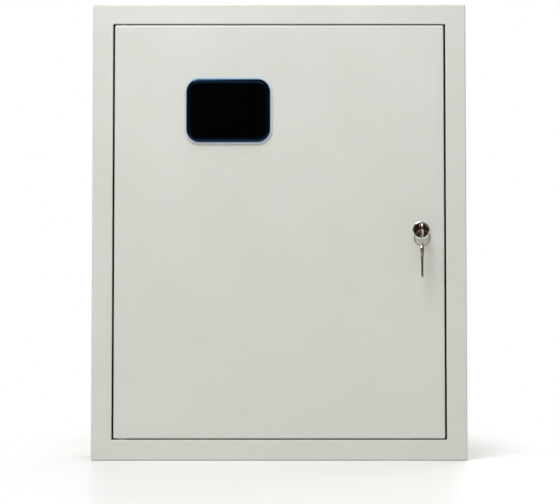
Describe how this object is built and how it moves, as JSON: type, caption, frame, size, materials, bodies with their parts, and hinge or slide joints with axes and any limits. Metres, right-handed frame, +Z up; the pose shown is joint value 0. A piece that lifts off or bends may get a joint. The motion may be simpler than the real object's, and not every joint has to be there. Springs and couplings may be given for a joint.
{
  "type": "electric meter box",
  "caption": "Flush wall meter box of painted steel: wide front frame, inset door with smoked window and cam lock with keys, meter plate, device rails and terminal bars inside.",
  "frame": {"origin": "centre of the shell's back face, in the middle of its four wall holes", "axes": "+Z up as it hangs on the wall, +Y from the door into the wall, +X to the right seen from the front"},
  "size_m": [0.44, 0.1938, 0.537],
  "materials": {
    "grey_paint": "light grey powder coat, satin, fine orange peel",
    "galvanised_steel": "galvanised sheet, dull, faint spangle",
    "zinc_steel": "zinc-plated, bright",
    "lock_chrome": "polished chrome plate",
    "key_steel": "nickel-plated, polished, lightly scratched",
    "brass": "plain brass, semi-bright",
    "smoked_plastic": "smoked transparent plastic, glossy",
    "pale_rubber": "pale blue-grey soft rubber",
    "black_plastic": "black moulded plastic, matt",
    "white_nylon": "natural nylon",
    "blue_insulator": "moulded plastic, satin",
    "green_insulator": "moulded plastic, satin",
    "black_rubber": "soft black rubber, matt"
  },
  "bodies": {
    "box": {"box_shell": "grey_paint", "front_frame": "grey_paint", "door_seal": "black_rubber", "upper_hinge_pin": "zinc_steel", "lower_hinge_pin": "zinc_steel", "hinge_washer": "white_nylon", "plate_standoffs": "zinc_steel", "meter_plate": "galvanised_steel", "plate_screws": "zinc_steel", "side_rail": "zinc_steel", "main_rail": "zinc_steel", "left_rail_bracket": "galvanised_steel", "right_rail_bracket": "galvanised_steel", "rail_screws": "zinc_steel", "cover_posts": "zinc_steel", "breaker_cover": "grey_paint", "cover_screws": "black_plastic", "neutral_bar": "brass", "neutral_bar_screws": "zinc_steel", "neutral_bar_feet": "blue_insulator", "earth_bar": "brass", "earth_bar_screws": "zinc_steel", "earth_bar_feet": "green_insulator", "box_earth_stud": "zinc_steel", "box_earth_nut": "brass"},
    "door": {"door_panel": "grey_paint", "upper_hinge_plate": "grey_paint", "lower_hinge_plate": "grey_paint", "window_lens": "smoked_plastic", "window_gasket": "pale_rubber", "window_retainer": "black_plastic", "door_earth_stud": "zinc_steel", "door_earth_nut": "brass", "lock_barrel": "lock_chrome", "lock_washer": "zinc_steel", "lock_nut": "zinc_steel"},
    "plug": {"lock_plug": "lock_chrome", "lock_cam": "zinc_steel", "cam_screw": "zinc_steel"},
    "key": {"lock_key": "key_steel"},
    "ring": {"key_ring": "key_steel"},
    "spare": {"spare_key": "key_steel"}
  },
  "joints": [
    {"name": "door_hinge", "type": "hinge", "parent": "box", "child": "door", "pos_m": [-0.1839, -0.1585, 0], "axis": [0, 0, -1], "range_deg": [0, 115]},
    {"name": "lock_turn", "type": "hinge", "parent": "door", "child": "plug", "pos_m": [0.1662, -0.16, 0.0004], "axis": [0, -1, 0], "range_deg": [0, 90]},
    {"name": "key_slide", "type": "slide", "parent": "plug", "child": "key", "axis": [0, -1, 0], "range_m": [0, 0.022]},
    {"name": "ring_swing", "type": "hinge", "parent": "key", "child": "ring", "pos_m": [0.1662, -0.18535, -0.0008], "axis": [-1, 0, 0], "range_deg": [-8, 100]},
    {"name": "spare_key_swing", "type": "hinge", "parent": "ring", "child": "spare", "pos_m": [0.1662, -0.18535, -0.0188], "axis": [-1, 0, 0], "range_deg": [-8, 80]}
  ]
}
